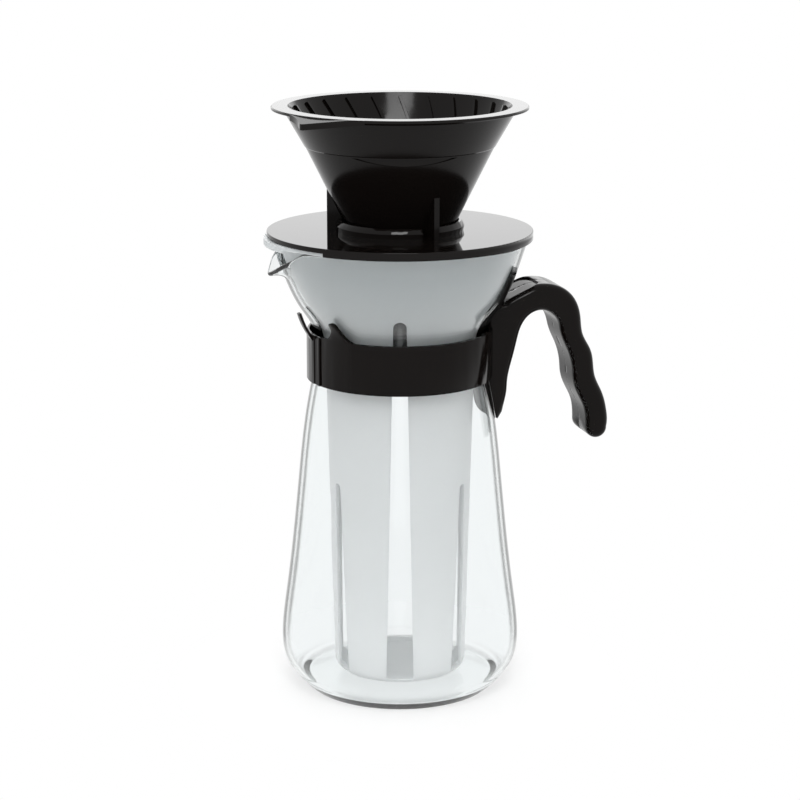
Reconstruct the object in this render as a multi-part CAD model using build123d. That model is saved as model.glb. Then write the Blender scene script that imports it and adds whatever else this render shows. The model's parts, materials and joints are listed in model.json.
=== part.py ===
"""Pour-over iced coffee maker: a glass jug with a clasped neck band and handle, a hanging ice
strainer, a drip plate and a dripper cone. Millimetres, +Z up, origin at the centre of the jug's
foot, spout along -X and handle along +X."""

from build123d import *
import os
from math import atan2, cos, degrees, radians, sin, tan

# What a cut runs past the solid that it cuts.
OVERCUT = 1.0

# ---- glass jug: each rise is counted from the height named before it, and each share is of the
# way out from the neck to the hip, or from the neck to the rim ------------------------------
GLASS_WALL = 2.2
BASE_THICKNESS = 3.6
RIM_RADIUS = 57.9
NECK_RADIUS = 38.0
HIP_INSET = 2.7
HEEL_INSET = 4.2
FOOT_INSET = 11.8
BELLY_SHARE = 0.843
WAIST_SHARE = 0.535
SHOULDER_SHARE = 0.151
THROAT_SHARE = 0.085
FLARE_SHARE = 0.357
BOWL_SHARE = 0.668
HEEL_HEIGHT = 8.0
HIP_HEIGHT = 20.0
BELLY_RISE = 27.0
WAIST_RISE = 47.0
SHOULDER_RISE = 49.0
NECK_RISE = 17.0
THROAT_RISE = 10.0
FLARE_RISE = 8.0
BOWL_RISE = 12.0
RIM_RISE = 19.6

# ---- pouring lip -----------------------------------------------------------------------
LIP_HALF_ANGLE = 30.0
LIP_REACH = 3.3
LIP_DEPTH = 15.7
LIP_EDGE_DEPTH = 14.8
LIP_NOTCH_ROUND = 9.0
LIP_NOTCH_FLARE = 1.4
LIP_NOTCH_END = 0.72
LIP_PROFILE = ((-1.0, 0.15, 0.4), (0.2, 0.72, 0.5), (2.2, 1.0, 0.62), (9.0, 1.05, 0.88))
LIP_TOP_SHARE = 1.12
LIP_WALL_SHARE = 0.9

# ---- neck band -------------------------------------------------------------------------
BAND_GAP = 0.2
BAND_THICKNESS = 1.9
BAND_HEIGHT = 22.3
BAND_DROP = 2.8
LUG_ANGLE = 34.2
LUG_HEIGHT = 9.2
LUG_TIP = 1.9
LUG_FOOT = 8.5
LUG_SAG = 2.0
STUB_LENGTH = 10.5
STUB_THICKNESS = 5.0
STUB_HEIGHT = 13.0
STUB_FIT = 0.2

# ---- clasp under the spout ---------------------------------------------------------------
CLASP_HINGE_ANGLE = 38.0
CLASP_END_ANGLE = 17.6
CLASP_GAP = 0.3
CLASP_PROUD = 0.1
CLASP_BEAD = 0.5
CLASP_BEAD_HALF_ANGLE = 10.0
CLASP_RIDGE = 0.5
CLASP_RIDGE_ANGLE = 2.2
CATCH_WALL = 0.8
CATCH_ANGLE = 10.0
CATCH_INSET = 1.0
PIN_RADIUS = 0.8
PIN_FIT = 0.05
PIN_INSET = 0.2
KNUCKLE_RADIUS = 1.9
KNUCKLE_HEIGHT = 5.5
TAB_ANGLE = 6.0
TAB_WIDTH = 3.4
TAB_THICKNESS = 1.2
TAB_HEIGHT = 10.2
TAB_REACH = 6.0
TAB_ROOT = 2.0
TAB_MIDDLE = (0.62, 0.42)

# ---- handle ----------------------------------------------------------------------------
HANDLE_REACH = 55.3
HANDLE_WIDTH = 26.0
HANDLE_WALL = 2.4
HANDLE_EDGE_ROUND = 4.0
GLASS_CLEARANCE = 0.3
BAND_CLEARANCE = 0.1
THUMB_REST_END = 22.0
THUMB_REST_DEPTH = 0.9
THUMB_REST_MARGIN = 2.4
THUMB_REST_ROUND = 6.0
BOSS_RADIUS = 3.0
SCREW_RADIUS = 1.2
SCREW_FIT = 0.1
SCREW_HEAD_RADIUS = 2.7
SCREW_HEAD_HEIGHT = 2.0
SCREW_SINK = 4.5
SCREW_SLOT = 0.8
SCREW_TIP_GAP = 1.0

# ---- ice strainer ----------------------------------------------------------------------
STRAINER_WALL = 1.6
STRAINER_GAP = 1.3
STRAINER_RIM_GAP = 0.5
FLANGE_THICKNESS = 1.7
FLANGE_OVERHANG = 0.4
BEAK_OVERHANG = 0.6
BEAK_DROP = 1.4
BEAK_WALL = 1.6
TUBE_NECK_GAP = 2.1
TUBE_TOP_DROP = 10.0
TUBE_FOOT_RADIUS = 30.4
TUBE_FOOT_GAP = 2.9
TUBE_FOOT_ROUND = 5.0
SLOT_COUNT = 6
SLOT_START_ANGLE = 15.0
SLOT_FOOT_RISE = 3.0
LONG_SLOT_RISE = 30.0
SHORT_SLOT_LENGTH = 89.5
LONG_SLOT_WIDTHS = (12.4, 5.8)
SHORT_SLOT_WIDTHS = (9.6, 4.4)

# ---- drip plate ------------------------------------------------------------------------
PLATE_THICKNESS = 2.2
PLATE_EDGE_ROUND = 0.4
SKIRT_WALL = 1.3
SKIRT_GAP = 0.4
SKIRT_DROP = 1.5
SKIRT_GAP_HALF_ANGLE = 41.4
CONE_SEAT_GAP = 0.5
COLLAR_HEIGHT = 4.6
COLLAR_WALL = 2.4
COLLAR_BEVEL = 1.3
COLLAR_UNDERCUT = 0.5
COLLAR_SLOT = 7.0
COLLAR_SLOT_SHIFT = 0.9

# ---- dripper cone ----------------------------------------------------------------------
CONE_WALL = 2.2
OUTLET_RADIUS = 11.0
CONE_DEPTH = 20.5
CONE_HALF_ANGLE = 26.75
STEP_RISE = 37.8
STEP = 0.5
STEP_HEIGHT = 0.4
MOUTH_RADIUS = 50.0
MOUTH_RISE = 18.0
BRIM_RADIUS = 57.4
BRIM_THICKNESS = 1.6
BRIM_EDGE = 0.4
BRIM_CORNER = 1.0
RIB_COUNT = 24
RIB_HEIGHT = 1.2
RIB_WIDTH = 1.3
RIB_ROOT = 0.6
RIB_INSET = 1.6
RIB_TWIST_PER_MM = 0.5
RIB_SECTIONS = 7
FIN_ANGLES = (-75.5, 44.5, 164.5)
FIN_RADIUS = 32.8
FIN_THICKNESS = 2.6
BRIM_TAB_START = -120.0
BRIM_TAB_CORNER = -146.0
BRIM_TAB_END = -161.0
BRIM_TAB_REACH = 7.5
BRIM_TAB_HOLLOW = 0.45
BRIM_TAB_ROUND = 2.5
BRIM_TAB_ROOT = 3.0
BRIM_TAB_TILT = 13.0
BRIM_TAB_THICKNESS = 2.6
CRESCENT_ANGLE = -101.5
CRESCENT_WIDTH = 46.0
CRESCENT_HEIGHT = 3.2
CRESCENT_DEPTH = 1.1
CRESCENT_DROP = 0.6

# ---- derived places --------------------------------------------------------------------
SPOUT_ANGLE = 180.0
HIP_RADIUS = RIM_RADIUS - HIP_INSET
FOOT_RADIUS = HIP_RADIUS - FOOT_INSET
BELLY_Z = HIP_HEIGHT + BELLY_RISE
WAIST_Z = BELLY_Z + WAIST_RISE
SHOULDER_Z = WAIST_Z + SHOULDER_RISE
NECK_Z = SHOULDER_Z + NECK_RISE
THROAT_Z = NECK_Z + THROAT_RISE
FLARE_Z = THROAT_Z + FLARE_RISE
BOWL_Z = FLARE_Z + BOWL_RISE
RIM_Z = BOWL_Z + RIM_RISE
BAND_MID_Z = NECK_Z - BAND_DROP
BAND_BOTTOM = BAND_MID_Z - BAND_HEIGHT / 2
BAND_TOP = BAND_MID_Z + BAND_HEIGHT / 2
FLANGE_RADIUS = RIM_RADIUS + FLANGE_OVERHANG
FLANGE_TOP = RIM_Z + FLANGE_THICKNESS
PLATE_RADIUS = FLANGE_RADIUS + SKIRT_GAP + SKIRT_WALL
PLATE_TOP = FLANGE_TOP + PLATE_THICKNESS
CONE_TIP_Z = PLATE_TOP - CONE_DEPTH
STEP_Z = PLATE_TOP + STEP_RISE
BRIM_TOP_Z = STEP_Z + MOUTH_RISE
CONE_SLOPE = tan(radians(CONE_HALF_ANGLE))
CONE_SIDE = CONE_WALL / cos(radians(CONE_HALF_ANGLE))
HANDLE_FACE = HANDLE_WIDTH / 2
SCREW_END = HANDLE_WALL + 2 * SCREW_TIP_GAP - HANDLE_FACE


# ---- shared shapes -----------------------------------------------------------------------
def at(radius, z, angle=0.0):
    """A point at a radius, a height and an angle about the vertical axis."""
    return Vector(radius * cos(radians(angle)), radius * sin(radians(angle)), z)


def smooth(points, tangents):
    """A spline in the XZ plane through (radius, z) points."""
    ends = [(t[0], 0, t[1]) for t in tangents]
    return Spline(*[(r, 0, z) for r, z in points], tangents=ends)


def spun(*points, arc=360.0):
    """A ring or disc, or a sector of one, from a polygon of (radius, z) points."""
    outline = [(r, 0, z) for r, z in points]
    return revolve(make_face(Polyline(*outline, close=True)), Axis.Z, revolution_arc=arc)


def sector(inner, outer, bottom, top, start, end):
    """A piece of a tube between two angles."""
    corners = [(inner, bottom), (outer, bottom), (outer, top), (inner, top)]
    return turned(spun(*corners, arc=end - start), start)


def turned(solid, angle):
    """A solid turned about the vertical axis."""
    return Rot(Z=angle) * solid


def drum(radius, bottom, top):
    """A cylinder on the vertical axis between two heights."""
    low = (Align.CENTER, Align.CENTER, Align.MIN)
    return Pos(0, 0, bottom) * Cylinder(radius, top - bottom, align=low)


def filled(curves, top):
    """The solid inside a rising chain of curves, carried straight up to a height."""
    first, last = curves[0] @ 0, curves[-1] @ 1
    rise = [Line(last, (last.X, 0, top))] if top > last.Z else []
    lid = Line((last.X, 0, top), (0, 0, top))
    axis = Line((0, 0, top), (0, 0, first.Z))
    floor = Line((0, 0, first.Z), first)
    return revolve(make_face(Wire([floor, *curves, *rise, lid, axis])), Axis.Z)


def inside(curves, wall, per_curve=7):
    """A curve one wall inside a rising chain of curves, or outside it where wall is negative."""
    places = [(c, i / per_curve) for c in curves for i in range(per_curve)] + [(curves[-1], 1)]
    points = []
    for curve, share in places:
        place, along = curve @ share, curve % share
        points.append((place.X - along.Z * wall, 0, place.Z + along.X * wall))
    return Spline(*points)


def radius_at(curves, z):
    """The radius of a rising chain of curves at a height."""
    curve = next((c for c in curves if (c @ 1).Z >= z), curves[-1])
    low, high = 0.0, 1.0
    for _ in range(40):
        middle = (low + high) / 2
        if (curve @ middle).Z < z:
            low = middle
        else:
            high = middle
    return (curve @ low).X


# ---- glass jug -------------------------------------------------------------------------
def out_from_neck(share, radius, z):
    """A (radius, z) place some share of the way out from the neck to a radius."""
    return NECK_RADIUS + share * (radius - NECK_RADIUS), z


def jug_outline():
    """The outer curve of the jug, from its foot up to its rim."""
    heel = (HIP_RADIUS - HEEL_INSET, HEEL_HEIGHT)
    hip = (HIP_RADIUS, HIP_HEIGHT)
    belly = out_from_neck(BELLY_SHARE, HIP_RADIUS, BELLY_Z)
    waist = out_from_neck(WAIST_SHARE, HIP_RADIUS, WAIST_Z)
    shoulder = out_from_neck(SHOULDER_SHARE, HIP_RADIUS, SHOULDER_Z)
    neck = (NECK_RADIUS, NECK_Z)
    throat = out_from_neck(THROAT_SHARE, RIM_RADIUS, THROAT_Z)
    flare = out_from_neck(FLARE_SHARE, RIM_RADIUS, FLARE_Z)
    bowl = out_from_neck(BOWL_SHARE, RIM_RADIUS, BOWL_Z)
    rim = (RIM_RADIUS, RIM_Z)
    return [
        smooth([(FOOT_RADIUS, 0), heel, hip], [(1, 0.8), (0, 1)]),
        smooth([hip, belly, waist, shoulder, neck], [(0, 1), (0, 1)]),
        smooth([neck, throat, flare, bowl, rim], [(0, 1), (0.34, 1)]),
    ]


OUTLINE = jug_outline()


def lip_slice(z, side_radius, tip_radius, half_angle=LIP_HALF_ANGLE):
    """A level slice of the spout's bulge, closed by a chord inside the bowl."""
    left = at(side_radius, z, SPOUT_ANGLE - half_angle)
    right = at(side_radius, z, SPOUT_ANGLE + half_angle)
    bulge = ThreePointArc(left, at(tip_radius, z, SPOUT_ANGLE), right)
    return make_face(Wire([bulge, Line(right, left)]))


def lip(wall):
    """The bulge of the pouring lip, set in by a wall: narrow below, wide at the rim."""
    floor = RIM_Z - LIP_DEPTH + wall
    above_rim = (LIP_DEPTH + GLASS_WALL, LIP_TOP_SHARE, 1.0)
    start = radius_at(OUTLINE, floor) - wall
    reach = RIM_RADIUS + LIP_REACH - wall - start
    slices = []
    for rise, share, width in (*LIP_PROFILE, above_rim):
        side = radius_at(OUTLINE, min(floor + rise, RIM_Z)) - wall
        tip = max(start + reach * share, side + LIP_PROFILE[0][1])
        slices.append(lip_slice(floor + rise, side, tip, LIP_HALF_ANGLE * width))
    return loft(slices, ruled=True)


def rim_notch():
    """What is cut away over the lip: a vee with a rounded bottom, seen along X."""
    half = RIM_RADIUS * sin(radians(LIP_HALF_ANGLE)) - GLASS_WALL / 2
    far = -2 * RIM_RADIUS
    outline = FilletPolyline(
        (far, -LIP_NOTCH_FLARE * half, RIM_Z + LIP_DEPTH),
        (far, -half, RIM_Z),
        (far, 0, RIM_Z - LIP_EDGE_DEPTH),
        (far, half, RIM_Z),
        (far, LIP_NOTCH_FLARE * half, RIM_Z + LIP_DEPTH),
        radius=LIP_NOTCH_ROUND,
    )
    face = make_face(Wire([*outline.edges(), Line(outline @ 1, outline @ 0)]))
    return extrude(face, amount=-far - LIP_NOTCH_END * RIM_RADIUS, dir=(1, 0, 0))


def make_jug():
    """The blown jug: one wall all over, a thicker base and a dipped lip."""
    shell = filled(OUTLINE, RIM_Z) + lip(0)
    hollow = filled([inside(OUTLINE, GLASS_WALL)], RIM_Z + LIP_DEPTH) + lip(GLASS_WALL * LIP_WALL_SHARE)
    hollow -= drum(2 * HIP_RADIUS, -BASE_THICKNESS, BASE_THICKNESS)
    jug = shell - hollow - rim_notch()
    return jug - drum(2 * RIM_RADIUS, RIM_Z, RIM_Z + 2 * LIP_DEPTH)


# ---- neck band and clasp -------------------------------------------------------------------
BAND_INNER = max(radius_at(OUTLINE, BAND_BOTTOM), radius_at(OUTLINE, BAND_TOP)) + BAND_GAP
BAND_OUTER = BAND_INNER + BAND_THICKNESS
PIN_PLACE_RADIUS = BAND_INNER + KNUCKLE_RADIUS
PIN_OFFSET_ANGLE = degrees((KNUCKLE_RADIUS + CLASP_GAP) / PIN_PLACE_RADIUS)
CLASP_START = SPOUT_ANGLE - CLASP_HINGE_ANGLE
CLASP_END = SPOUT_ANGLE + CLASP_END_ANGLE
PIN_ANGLE = CLASP_START + PIN_OFFSET_ANGLE


def band_ring():
    """The band as a full ring, its wall carried up along the bowl to the lug's height."""
    top = BAND_TOP + LUG_HEIGHT
    rises = [(radius_at(OUTLINE, z) + 2 * BAND_GAP, z) for z in (BAND_TOP + LUG_HEIGHT / 2, top)]
    inner = [(BAND_INNER, BAND_BOTTOM), (BAND_INNER, BAND_TOP)]
    inner += [(max(BAND_INNER, r), z) for r, z in rises]
    outer = [(r + BAND_THICKNESS, z) for r, z in reversed(inner)]
    return spun(*inner, *outer)


def lug_prism():
    """The outline of the lug, a rounded point on hollow flanks, run outwards from the axis."""
    shoulder = LUG_HEIGHT - LUG_TIP
    middle = ((LUG_FOOT + LUG_TIP) / 2 - LUG_SAG, shoulder / 2)
    left = ThreePointArc((-LUG_FOOT, 0), (-middle[0], middle[1]), (-LUG_TIP, shoulder))
    tip = ThreePointArc((-LUG_TIP, shoulder), (0, LUG_HEIGHT), (LUG_TIP, shoulder))
    right = ThreePointArc((LUG_TIP, shoulder), middle, (LUG_FOOT, 0))
    foot = Polyline((LUG_FOOT, 0), (LUG_FOOT, -LUG_TIP), (-LUG_FOOT, -LUG_TIP), (-LUG_FOOT, 0))
    face = make_face(Wire([left, tip, right, *foot.edges()]))
    upright = Plane(origin=(0, 0, BAND_TOP), x_dir=(0, 1, 0), z_dir=(1, 0, 0))
    return turned(upright * extrude(face, amount=2 * BAND_OUTER), SPOUT_ANGLE + LUG_ANGLE)


def knuckle_levels():
    """The bottom and top of the band's two knuckles."""
    low = BAND_BOTTOM + KNUCKLE_HEIGHT
    high = BAND_TOP - KNUCKLE_HEIGHT
    return (BAND_BOTTOM, low), (high, BAND_TOP)


def on_pin(radius, bottom, top):
    """A cylinder on the clasp pin's axis."""
    place = at(PIN_PLACE_RADIUS, 0, PIN_ANGLE)
    return Pos(place.X, place.Y, 0) * drum(radius, bottom, top)


def clasp_gap():
    """What the band leaves open for the latch: all but the thin catch and the knuckle arms."""
    reach = 2 * BAND_THICKNESS
    inner, outer = BAND_INNER - reach, BAND_OUTER + reach
    under, over = BAND_BOTTOM - OVERCUT, BAND_TOP + OVERCUT
    gap = sector(inner, outer, under, over, CLASP_START, CLASP_END)
    bottom, top = BAND_BOTTOM + CATCH_INSET, BAND_TOP - CATCH_INSET
    catch_start = SPOUT_ANGLE + CATCH_ANGLE
    gap -= sector(inner - OVERCUT, BAND_INNER + CATCH_WALL, bottom, top, catch_start, CLASP_END + OVERCUT)
    for low, high in knuckle_levels():
        gap -= sector(inner - OVERCUT, outer + OVERCUT, low, high, CLASP_START - OVERCUT, PIN_ANGLE)
    return gap


def handle_stub():
    """The block that the handle's two shells close on, with a hole for their screw boss."""
    middle = (BAND_INNER + BAND_OUTER) / 2
    outwards = (Align.MIN, Align.CENTER, Align.CENTER)
    length = BAND_OUTER + STUB_LENGTH - middle
    stub = Pos(middle, 0, BAND_MID_Z) * Box(length, STUB_THICKNESS, STUB_HEIGHT, align=outwards)
    return stub - across(BOSS_PLACES[0], BOSS_RADIUS + STUB_FIT, -STUB_THICKNESS, STUB_THICKNESS)


def make_band():
    """The neck band with its lug, its hinge knuckles, its thin catch and its stub."""
    above = drum(2 * BAND_OUTER, BAND_TOP, BAND_TOP + 2 * LUG_HEIGHT) - lug_prism()
    band = band_ring() - above - clasp_gap()
    for low, high in knuckle_levels():
        band += on_pin(KNUCKLE_RADIUS, low, high)
    band -= on_pin(PIN_RADIUS + PIN_FIT, BAND_BOTTOM - OVERCUT, BAND_TOP + OVERCUT)
    return band + handle_stub()


def finger_tab(foot):
    """The thin curved tab that the thumb pulls, up in front of the bowl."""
    low, high = BAND_TOP - TAB_ROOT, BAND_TOP + TAB_HEIGHT
    middle = (foot + TAB_MIDDLE[0] * TAB_REACH, BAND_TOP + TAB_MIDDLE[1] * TAB_HEIGHT)
    curl = smooth([(foot, low), middle, (foot + TAB_REACH, high)], [(0.65, 1), (0.3, 1)])
    back = inside([curl], -TAB_THICKNESS)
    face = make_face(Wire([curl, Line(curl @ 1, back @ 1), back, Line(back @ 0, curl @ 0)]))
    tab = extrude(face, amount=TAB_WIDTH / 2, dir=(0, 1, 0), both=True)
    return turned(tab, SPOUT_ANGLE + TAB_ANGLE)


def make_latch():
    """The clasp's outer plate: hinged on the pin, it closes over the band's thin catch."""
    inner, outer = BAND_INNER + CATCH_WALL + CLASP_GAP, BAND_OUTER + CLASP_PROUD
    root = (inner + outer) / 2
    end = CLASP_END - degrees(CLASP_GAP / BAND_OUTER)
    clear_of_knuckle = PIN_ANGLE + PIN_OFFSET_ANGLE
    low = BAND_BOTTOM + KNUCKLE_HEIGHT + CLASP_GAP
    high = BAND_TOP - KNUCKLE_HEIGHT - CLASP_GAP
    bead_start = SPOUT_ANGLE - CLASP_BEAD_HALF_ANGLE
    bead_end = SPOUT_ANGLE + CLASP_BEAD_HALF_ANGLE
    bead = sector(root, outer + CLASP_BEAD, BAND_BOTTOM, BAND_TOP, bead_start, bead_end)
    corners = bead.edges().filter_by(Axis.Z).sort_by(lambda edge: edge.center().X)[:2]
    latch = sector(inner, outer, BAND_BOTTOM, BAND_TOP, clear_of_knuckle, end)
    latch += sector(inner, outer, low, high, PIN_ANGLE, clear_of_knuckle + OVERCUT)
    latch += on_pin(KNUCKLE_RADIUS, low, high)
    latch += fillet(corners, CLASP_BEAD)
    latch += sector(root, outer + CLASP_RIDGE, BAND_BOTTOM, BAND_TOP, end - CLASP_RIDGE_ANGLE, end)
    latch -= on_pin(PIN_RADIUS + PIN_FIT, BAND_BOTTOM - OVERCUT, BAND_TOP + OVERCUT)
    return latch + finger_tab(root)


def make_pin():
    """The clasp's steel pin, just short of the band's edges."""
    return on_pin(PIN_RADIUS, BAND_BOTTOM + PIN_INSET, BAND_TOP - PIN_INSET)


# ---- handle ------------------------------------------------------------------------------
def handle_places(*shares):
    """Places given, in hundredths of the handle's reach, as (outwards from the band, upwards
    from its middle)."""
    unit = HANDLE_REACH / 100
    return [(BAND_OUTER + out * unit, BAND_MID_Z + up * unit) for out, up in shares]


HANDLE_BACK = handle_places(
    (7.2, 40.5), (24.4, 49.5), (34.4, 53.2), (44.3, 53.7), (56.1, 51.0), (67.3, 42.7), (74.5, 25.9),
    (77.0, 9.6), (84.6, -5.4), (88.2, -26.2), (96.2, -44.5), (99.9, -61.0), (99.5, -71.2),
)
HANDLE_FRONT = handle_places(
    (81.2, -71.6), (79.9, -56.6), (69.8, -32.5), (68.5, -21.0), (63.7, -3.3), (57.9, 10.1),
    (54.8, 21.3), (47.4, 29.3), (37.6, 31.5), (26.9, 25.3), (18.4, 3.3), (11.6, -23.9), (7.1, -52.4),
)
HANDLE_HEEL = handle_places((90.3, -80.7))[0]
HANDLE_ROOT = handle_places((3.3, -58.6), (-10.8, -52.4), (-10.8, 40.5))
BOSS_PLACES = handle_places((10.1, 0.0), (49.7, 41.6), (89.7, -65.1))
HANDLE_STEPS = 24


def upright(points):
    """The (x, z) places of the handle's mid plane as points."""
    return [(x, 0, z) for x, z in points]


def handle_back(wall):
    """The handle's top and back from the bowl to its heel, set in by a wall."""
    back = Spline(*upright(HANDLE_BACK), tangents=[(1, 0, 0.75), (-0.1, 0, -1)])
    return inside([back], -wall, HANDLE_STEPS)


def handle_outline(wall):
    """The handle's side outline as a face in its mid plane, set in by a wall."""
    back = handle_back(wall)
    front = Spline(*upright(HANDLE_FRONT), tangents=[(-0.05, 0, 1), (-0.25, 0, -1)])
    front = inside([front], -wall, HANDLE_STEPS)
    heel = ThreePointArc(back @ 1, (HANDLE_HEEL[0], 0, HANDLE_HEEL[1] + wall), front @ 0)
    root = Polyline(front @ 1, *upright(HANDLE_ROOT), back @ 0)
    return make_face(Wire([back, heel, front, *root.edges()]))


def keepout(wall):
    """The glass and the band with their clearances, grown by a wall."""
    glass = filled([inside(OUTLINE, -GLASS_CLEARANCE - wall)], RIM_Z + LIP_DEPTH)
    sleeve = drum(BAND_OUTER + BAND_CLEARANCE + wall, BAND_BOTTOM - wall, BAND_TOP + wall)
    return glass + sleeve


def thumb_rest(sink):
    """The shallow recess on top of the handle, next to the bowl, round at its far corners."""
    top = handle_back(THUMB_REST_DEPTH + sink)
    start, end, over = top @ 0, top @ 1, FLANGE_TOP + LUG_HEIGHT
    lid = Polyline(end, (2 * end.X, 0, end.Z), (2 * end.X, 0, over), (start.X, 0, over), start)
    above = make_face(Wire([top, *lid.edges()]))
    half = HANDLE_FACE - THUMB_REST_MARGIN
    plan = Box(2 * THUMB_REST_END, 2 * half, 2 * over)
    plan = fillet(plan.edges().filter_by(Axis.Z), THUMB_REST_ROUND)
    return extrude(above, amount=half, dir=(0, 1, 0), both=True) & Pos(BAND_OUTER, 0, 0) * plan


def across(place, radius, start, end):
    """A cylinder across the handle at one of its screw places."""
    return Pos(place[0], 0, place[1]) * Rot(X=-90) * drum(radius, start, end)


def handle_block():
    """The whole handle's outer shape, cut to the glass and the band."""
    block = extrude(handle_outline(0), amount=HANDLE_FACE, dir=(0, 1, 0), both=True)
    sides = block.faces().filter_by(Axis.Y)
    block = fillet([edge for side in sides for edge in side.edges()], HANDLE_EDGE_ROUND)
    return block - keepout(0) - thumb_rest(0)


def handle_cavity():
    """The hollow of the handle, one wall inside its outer shape, round the bosses."""
    depth = HANDLE_FACE - HANDLE_WALL
    cavity = extrude(handle_outline(HANDLE_WALL), amount=depth, dir=(0, 1, 0), both=True)
    cavity = cavity - keepout(HANDLE_WALL) - thumb_rest(HANDLE_WALL)
    for place in BOSS_PLACES:
        cavity -= across(place, BOSS_RADIUS, -HANDLE_FACE, HANDLE_FACE)
    return cavity


def stub_slot():
    """The pocket in the handle's root that takes the band's stub."""
    length = 2 * (STUB_LENGTH + STUB_FIT)
    room = 2 * STUB_FIT
    slot = Box(length, STUB_THICKNESS + room, STUB_HEIGHT + room)
    slot -= Pos(-BAND_OUTER, 0, -BAND_MID_Z) * across(BOSS_PLACES[0], BOSS_RADIUS, -HANDLE_FACE, HANDLE_FACE)
    return Pos(BAND_OUTER, 0, BAND_MID_Z) * slot


def make_shells():
    """The two halves of the handle, split on the mid plane: one takes the screws' threads,
    the other their heads."""
    hollow = handle_block() - handle_cavity() - stub_slot()
    reach = 4 * BAND_OUTER
    place = (Align.CENTER, Align.MIN, Align.CENTER)
    far_side = Pos(0, 0, BAND_MID_Z) * Box(2 * reach, reach, 2 * reach, align=place)
    far = hollow & far_side
    near = hollow - far_side
    for place in BOSS_PLACES:
        near -= across(place, SCREW_RADIUS, SCREW_END - SCREW_TIP_GAP, OVERCUT)
        far -= across(place, SCREW_RADIUS + SCREW_FIT, -OVERCUT, HANDLE_FACE + OVERCUT)
        far -= across(place, SCREW_HEAD_RADIUS + SCREW_FIT, HANDLE_FACE - SCREW_SINK, HANDLE_FACE + OVERCUT)
    return near, far


def make_screws():
    """Three self-tapping screws from the far shell into the near shell's bosses."""
    seat = HANDLE_FACE - SCREW_SINK
    top = seat + SCREW_HEAD_HEIGHT
    arm = 2 * SCREW_HEAD_RADIUS - 2 * SCREW_SLOT
    cross = Box(SCREW_SLOT, SCREW_HEAD_HEIGHT, arm) + Box(arm, SCREW_HEAD_HEIGHT, SCREW_SLOT)
    screws = []
    for place in BOSS_PLACES:
        head = across(place, SCREW_HEAD_RADIUS, seat, top)
        shank = across(place, SCREW_RADIUS, SCREW_END, seat)
        screws.append(head + shank - Pos(place[0], top, place[1]) * cross)
    return Compound(children=screws)


# ---- ice strainer ------------------------------------------------------------------------
TUBE_FOOT_Z = BASE_THICKNESS + TUBE_FOOT_GAP
TUBE_TOP_Z = NECK_Z - TUBE_TOP_DROP
TUBE_TOP_RADIUS = NECK_RADIUS - GLASS_WALL - TUBE_NECK_GAP


def strainer_curves():
    """The strainer's outer curves: the round of its foot, its tube and its bowl."""
    room = [inside(OUTLINE, GLASS_WALL + STRAINER_GAP)]
    bowl = [(radius_at(room, z), z) for z in (THROAT_Z, FLARE_Z, BOWL_Z)]
    bowl.append((RIM_RADIUS - GLASS_WALL - STRAINER_RIM_GAP, RIM_Z))
    tube_top = (TUBE_TOP_RADIUS, TUBE_TOP_Z)
    tube_foot = (TUBE_FOOT_RADIUS, TUBE_FOOT_Z + TUBE_FOOT_ROUND)
    lean = (TUBE_TOP_RADIUS - TUBE_FOOT_RADIUS) / (TUBE_TOP_Z - TUBE_FOOT_Z)
    foot = (TUBE_FOOT_RADIUS - TUBE_FOOT_ROUND, 0, TUBE_FOOT_Z)
    return [
        TangentArc(foot, (tube_foot[0], 0, tube_foot[1]), tangent=(1, 0, 0)),
        Line(*upright([tube_foot, tube_top])),
        smooth([tube_top, *bowl], [(lean, 1), (0.35, 1)]),
    ]


def strainer_hollow():
    """The inside of the strainer, one wall inside its outer curves."""
    skin = inside(strainer_curves()[1:], STRAINER_WALL)
    floor = TUBE_FOOT_Z + STRAINER_WALL
    foot = skin @ 0
    flat = foot.X - TUBE_FOOT_ROUND + STRAINER_WALL
    rim = skin @ 1
    over = FLANGE_TOP + OVERCUT
    bottom = Polyline((0, 0, floor), (flat, 0, floor), foot)
    lid = Polyline(rim, (rim.X, 0, over), (0, 0, over), (0, 0, floor))
    return revolve(make_face(Wire([*bottom.edges(), skin, *lid.edges()])), Axis.Z)


def beak(bottom, top):
    """The bulge of the flange over the pouring lip."""
    face = lip_slice(bottom, FLANGE_RADIUS - FLANGE_OVERHANG / 2, RIM_RADIUS + LIP_REACH + BEAK_OVERHANG)
    return extrude(face, amount=top - bottom, dir=(0, 0, 1))


def strainer_slot(index):
    """A tapered slot with a rounded top, cut outwards from the axis."""
    long_one = index % (SLOT_COUNT // 2) == 1
    bottom = TUBE_FOOT_Z + SLOT_FOOT_RISE
    top = TUBE_TOP_Z + LONG_SLOT_RISE if long_one else bottom + SHORT_SLOT_LENGTH
    foot_width, top_width = LONG_SLOT_WIDTHS if long_one else SHORT_SLOT_WIDTHS
    half, spring = top_width / 2, top - top_width / 2
    sides = Polyline((-half, spring), (-foot_width / 2, bottom), (foot_width / 2, bottom), (half, spring))
    arch = ThreePointArc((half, spring), (0, top), (-half, spring))
    outwards = Plane(origin=(0, 0, 0), x_dir=(0, 1, 0), z_dir=(1, 0, 0))
    cut = outwards * extrude(make_face(Wire([*sides.edges(), arch])), amount=RIM_RADIUS)
    return turned(cut, SLOT_START_ANGLE + index * 360 / SLOT_COUNT)


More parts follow.
